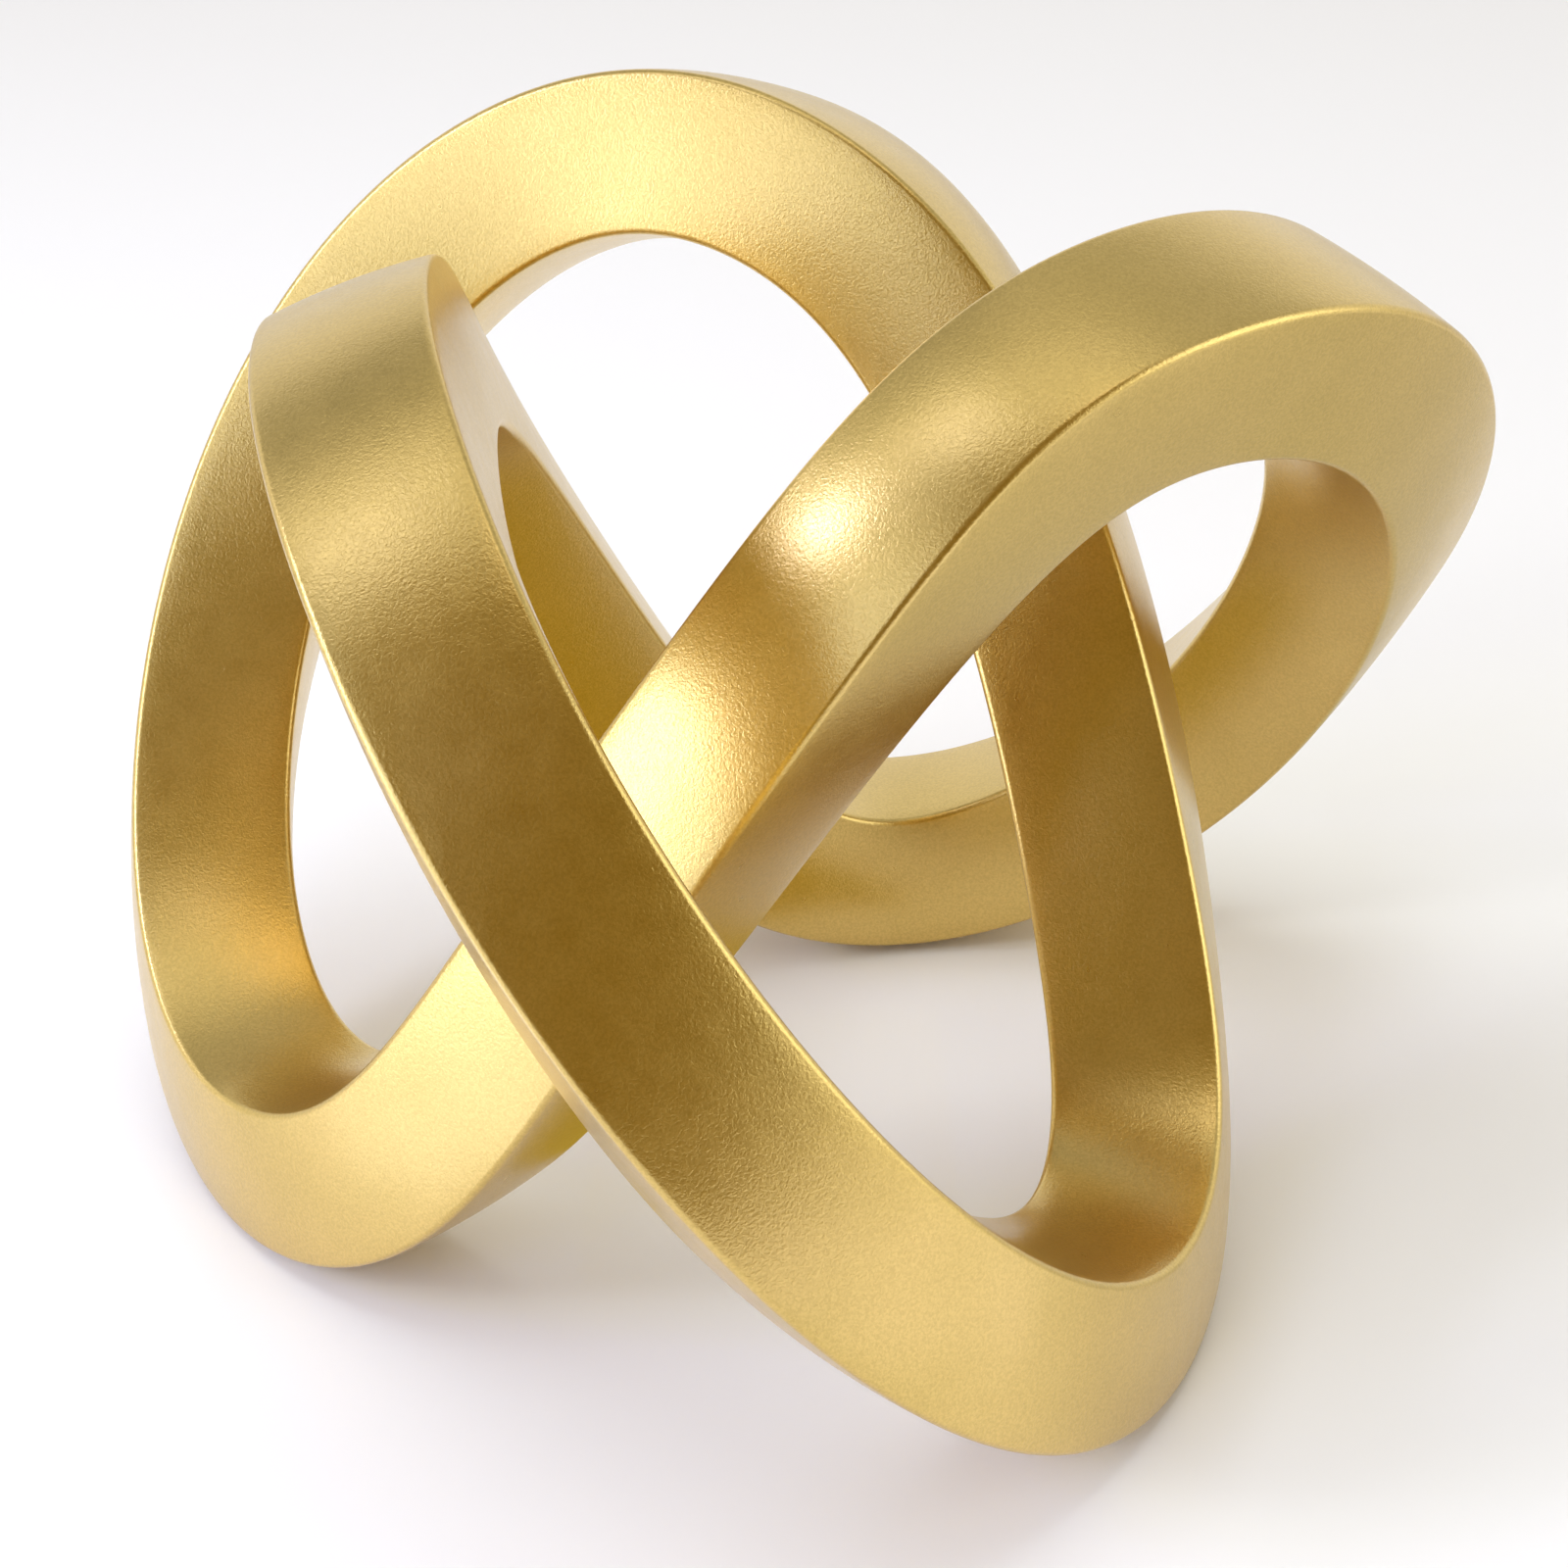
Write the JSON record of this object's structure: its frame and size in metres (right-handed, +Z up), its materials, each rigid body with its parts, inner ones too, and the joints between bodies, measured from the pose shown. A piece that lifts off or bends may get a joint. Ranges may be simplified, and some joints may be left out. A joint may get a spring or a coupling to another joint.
{
  "type": "knot sculpture",
  "caption": "Free-standing trefoil knot sculpture: a closed square band with softened edges, rising to peaks and resting on padded low turns.",
  "frame": {"origin": "on the plane that the pads rest on, under the middle of the overall box", "axes": "+Z up along the upright axis of threefold symmetry; +X to the right as seen in the picture; +Y away from the viewer"},
  "size_m": [0.19, 0.182, 0.1406],
  "materials": {
    "band": "satin gold metallic paint with a fine sandy grain over the casting",
    "dowel": "plain ground steel",
    "pad": "brown felt"
  },
  "bodies": {
    "root": {"band_casting_1": "band", "band_casting_2": "band", "band_casting_3": "band", "joint_1_dowel_1": "dowel", "joint_1_dowel_2": "dowel", "joint_2_dowel_1": "dowel", "joint_2_dowel_2": "dowel", "joint_3_dowel_1": "dowel", "joint_3_dowel_2": "dowel", "foot_pad_1": "pad", "foot_pad_2": "pad", "foot_pad_3": "pad"}
  },
  "joints": []
}
